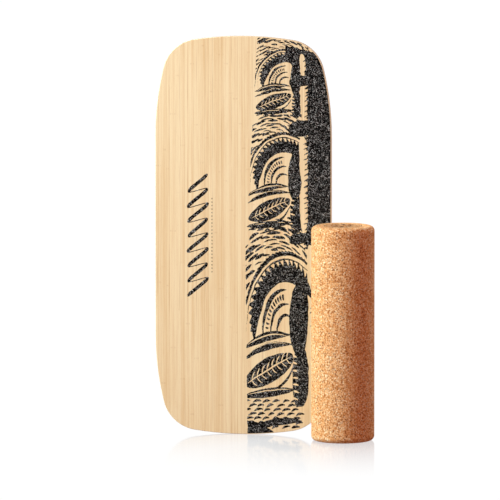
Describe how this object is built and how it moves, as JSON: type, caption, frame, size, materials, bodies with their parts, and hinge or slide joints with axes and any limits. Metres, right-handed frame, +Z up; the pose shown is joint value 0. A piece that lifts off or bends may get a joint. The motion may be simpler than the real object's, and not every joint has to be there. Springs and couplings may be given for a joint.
{
  "type": "roller balance board",
  "caption": "Flat laminated bamboo balance board with a gritty mineral grip print, standing on its rounded end, with stop rails underneath and a loose cork roller beside it.",
  "frame": {"origin": "middle of the pair's footprint: deck and roller both stand on z = 0", "axes": "+Z up along the deck's length and the roller's axis, +X across the deck, the grip face looks along -Y and the stop rails along +Y"},
  "size_m": [0.4454, 0.1535, 0.8],
  "materials": {
    "bamboo_face": "sanded and clear lacquered bamboo, long narrow strips",
    "maple_core": "sanded ply edge",
    "mineral_grip": "black mineral grit in clear lacquer",
    "rail_wood": "oiled beech",
    "bumper_rubber": "matte black rubber",
    "screw_steel": "zinc-plated",
    "cork": "fine agglomerated cork, sanded"
  },
  "bodies": {
    "deck": {"top_ply": "bamboo_face", "bottom_ply": "bamboo_face", "core_ply_1": "maple_core", "core_ply_2": "maple_core", "core_ply_3": "maple_core", "core_ply_4": "maple_core", "core_ply_5": "maple_core", "grip_field": "mineral_grip", "grip_ornament": "mineral_grip", "grip_dash_row": "mineral_grip", "stop_rail_upper": "rail_wood", "bumper_strip_upper": "bumper_rubber", "rail_screws_upper": "screw_steel", "stop_rail_lower": "rail_wood", "bumper_strip_lower": "bumper_rubber", "rail_screws_lower": "screw_steel"},
    "roller": {"roller_cork": "cork"}
  },
  "joints": [
    {"name": "roller_spin", "type": "hinge", "parent": "deck", "child": "roller", "pos_m": [0.15975, -0.01375, 0.215], "axis": [0, 0, 1], "continuous": true}
  ]
}
